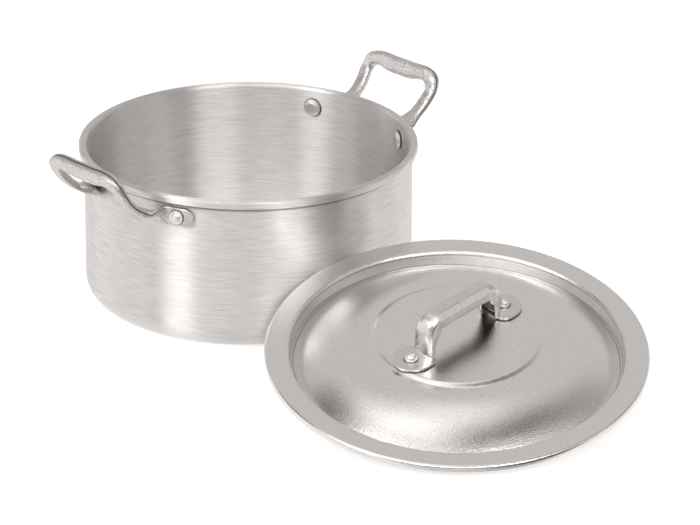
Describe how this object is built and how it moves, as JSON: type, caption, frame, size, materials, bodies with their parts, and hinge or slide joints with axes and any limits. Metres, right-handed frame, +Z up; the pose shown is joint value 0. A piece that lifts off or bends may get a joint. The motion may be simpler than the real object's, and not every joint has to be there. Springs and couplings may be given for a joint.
{
  "type": "casserole pot",
  "caption": "Straight-sided spun aluminium casserole pot with riveted cast loop handles and a domed lid with a riveted bridge handle, the lid leaning on the pot.",
  "frame": {"origin": "Centre of the pot's flat base, at floor level.", "axes": "+Z up along the pot's axis, X along the two loop handles, Y across them; the lid stands on the -Y side."},
  "size_m": [0.3385, 0.5201, 0.1436],
  "materials": {
    "spun_aluminium": "spun and brushed satin, fine lines round the axis",
    "cast_aluminium": "cast, tumbled and rough polished",
    "rivet_aluminium": "bright, peened by hammer"
  },
  "bodies": {
    "pot": {"pot_body": "spun_aluminium", "loop_handle_right": "cast_aluminium", "handle_rivet_right_a": "rivet_aluminium", "handle_rivet_right_b": "rivet_aluminium", "loop_handle_left": "cast_aluminium", "handle_rivet_left_a": "rivet_aluminium", "handle_rivet_left_b": "rivet_aluminium"},
    "lid": {"lid_cover": "spun_aluminium", "lid_handle": "cast_aluminium", "lid_rivet_a": "rivet_aluminium", "lid_rivet_b": "rivet_aluminium"}
  },
  "joints": [
    {"name": "lid_lift", "type": "slide", "parent": "pot", "child": "lid", "axis": [-0.1488, -0.1653, 0.975], "range_m": [0, 0.2]}
  ]
}
